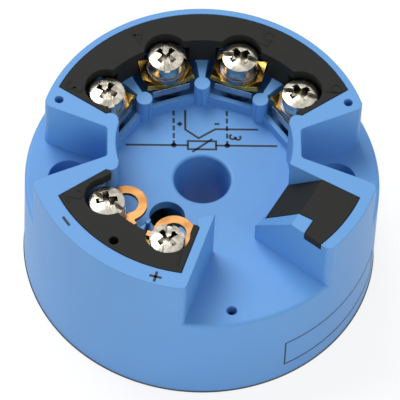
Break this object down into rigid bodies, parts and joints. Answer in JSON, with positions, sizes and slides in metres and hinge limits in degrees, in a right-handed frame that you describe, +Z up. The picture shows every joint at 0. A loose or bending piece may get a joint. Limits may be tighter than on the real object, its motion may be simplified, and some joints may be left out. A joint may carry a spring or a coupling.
{
  "type": "head transmitter",
  "caption": "Round head-mount temperature transmitter with screw terminals round an open middle, two black terminal covers and a pull-off interface cap.",
  "frame": {"origin": "middle of the underside, on the axis of the middle bore", "axes": "+Z up out of the terminals; +Y from the supply terminals 1 and 2 towards the sensor terminals 3 to 6; the two fixing holes lie on X"},
  "size_m": [0.044, 0.044, 0.0225],
  "materials": {
    "blue_housing": "satin light blue moulded plastic",
    "black_moulding": "fine matt black moulding",
    "black_resin": "cast black resin",
    "tinned_contact": "tinned brass",
    "gold_pin": "gold flash on brass",
    "board": "green solder resist on glass laminate",
    "steel_can": "drawn can",
    "component_black": "moulded component",
    "yellow_zinc_steel": "yellow passivated zinc",
    "spring_steel": "dark spring steel",
    "nickel_screw": "bright nickel plate",
    "brass_lug": "stamped brass"
  },
  "bodies": {
    "housing": {"housing": "blue_housing", "resin_base": "black_resin", "sensor_cover": "black_moulding", "supply_cover": "black_moulding", "interface_socket": "black_moulding", "interface_contacts": "gold_pin", "circuit_board": "board", "transformer": "component_black", "processor": "component_black", "optocoupler": "component_black", "capacitors": "steel_can", "resistors": "component_black", "contact_plate_1": "tinned_contact", "contact_plate_2": "tinned_contact", "contact_plate_3": "tinned_contact", "contact_plate_4": "tinned_contact", "contact_plate_5": "tinned_contact", "contact_plate_6": "tinned_contact"},
    "interface_cap": {"interface_cap": "black_moulding"},
    "clamp_1": {"clamp_washer_1": "yellow_zinc_steel", "spring_washer_1": "spring_steel", "test_lug_1": "brass_lug"},
    "screw_1": {"terminal_screw_1": "nickel_screw"},
    "clamp_2": {"clamp_washer_2": "yellow_zinc_steel", "spring_washer_2": "spring_steel", "test_lug_2": "brass_lug"},
    "screw_2": {"terminal_screw_2": "nickel_screw"},
    "clamp_3": {"clamp_washer_3": "yellow_zinc_steel", "spring_washer_3": "spring_steel"},
    "screw_3": {"terminal_screw_3": "nickel_screw"},
    "clamp_4": {"clamp_washer_4": "yellow_zinc_steel", "spring_washer_4": "spring_steel"},
    "screw_4": {"terminal_screw_4": "nickel_screw"},
    "clamp_5": {"clamp_washer_5": "yellow_zinc_steel", "spring_washer_5": "spring_steel"},
    "screw_5": {"terminal_screw_5": "nickel_screw"},
    "clamp_6": {"clamp_washer_6": "yellow_zinc_steel", "spring_washer_6": "spring_steel"},
    "screw_6": {"terminal_screw_6": "nickel_screw"}
  },
  "joints": [
    {"name": "clamp_1_lift", "type": "slide", "parent": "housing", "child": "clamp_1", "axis": [0, 0, 1], "range_m": [0, 0.00135]},
    {"name": "screw_1_turn", "type": "hinge", "parent": "clamp_1", "child": "screw_1", "pos_m": [-0.0046, -0.01375, 0.018], "axis": [0, 0, 1], "range_deg": [0, 1080]},
    {"name": "clamp_2_lift", "type": "slide", "parent": "housing", "child": "clamp_2", "axis": [0, 0, 1], "range_m": [0, 0.00135]},
    {"name": "screw_2_turn", "type": "hinge", "parent": "clamp_2", "child": "screw_2", "pos_m": [-0.01195, -0.00821, 0.018], "axis": [0, 0, 1], "range_deg": [0, 1080]},
    {"name": "clamp_3_lift", "type": "slide", "parent": "housing", "child": "clamp_3", "axis": [0, 0, 1], "range_m": [0, 0.00135]},
    {"name": "screw_3_turn", "type": "hinge", "parent": "clamp_3", "child": "screw_3", "pos_m": [-0.01195, 0.00821, 0.018], "axis": [0, 0, 1], "range_deg": [0, 1080]},
    {"name": "clamp_4_lift", "type": "slide", "parent": "housing", "child": "clamp_4", "axis": [0, 0, 1], "range_m": [0, 0.00135]},
    {"name": "screw_4_turn", "type": "hinge", "parent": "clamp_4", "child": "screw_4", "pos_m": [-0.0046, 0.01375, 0.018], "axis": [0, 0, 1], "range_deg": [0, 1080]},
    {"name": "clamp_5_lift", "type": "slide", "parent": "housing", "child": "clamp_5", "axis": [0, 0, 1], "range_m": [0, 0.00135]},
    {"name": "screw_5_turn", "type": "hinge", "parent": "clamp_5", "child": "screw_5", "pos_m": [0.0046, 0.01375, 0.018], "axis": [0, 0, 1], "range_deg": [0, 1080]},
    {"name": "clamp_6_lift", "type": "slide", "parent": "housing", "child": "clamp_6", "axis": [0, 0, 1], "range_m": [0, 0.00135]},
    {"name": "screw_6_turn", "type": "hinge", "parent": "clamp_6", "child": "screw_6", "pos_m": [0.01195, 0.00821, 0.018], "axis": [0, 0, 1], "range_deg": [0, 1080]},
    {"name": "cap_pull", "type": "slide", "parent": "housing", "child": "interface_cap", "axis": [0, 0, 1], "range_m": [0, 0.01]}
  ],
  "couplings": [
    {"joint": "screw_1_turn", "follows": "clamp_1_lift", "rad_per_m": 13960},
    {"joint": "screw_2_turn", "follows": "clamp_2_lift", "rad_per_m": 13960},
    {"joint": "screw_3_turn", "follows": "clamp_3_lift", "rad_per_m": 13960},
    {"joint": "screw_4_turn", "follows": "clamp_4_lift", "rad_per_m": 13960},
    {"joint": "screw_5_turn", "follows": "clamp_5_lift", "rad_per_m": 13960},
    {"joint": "screw_6_turn", "follows": "clamp_6_lift", "rad_per_m": 13960}
  ]
}
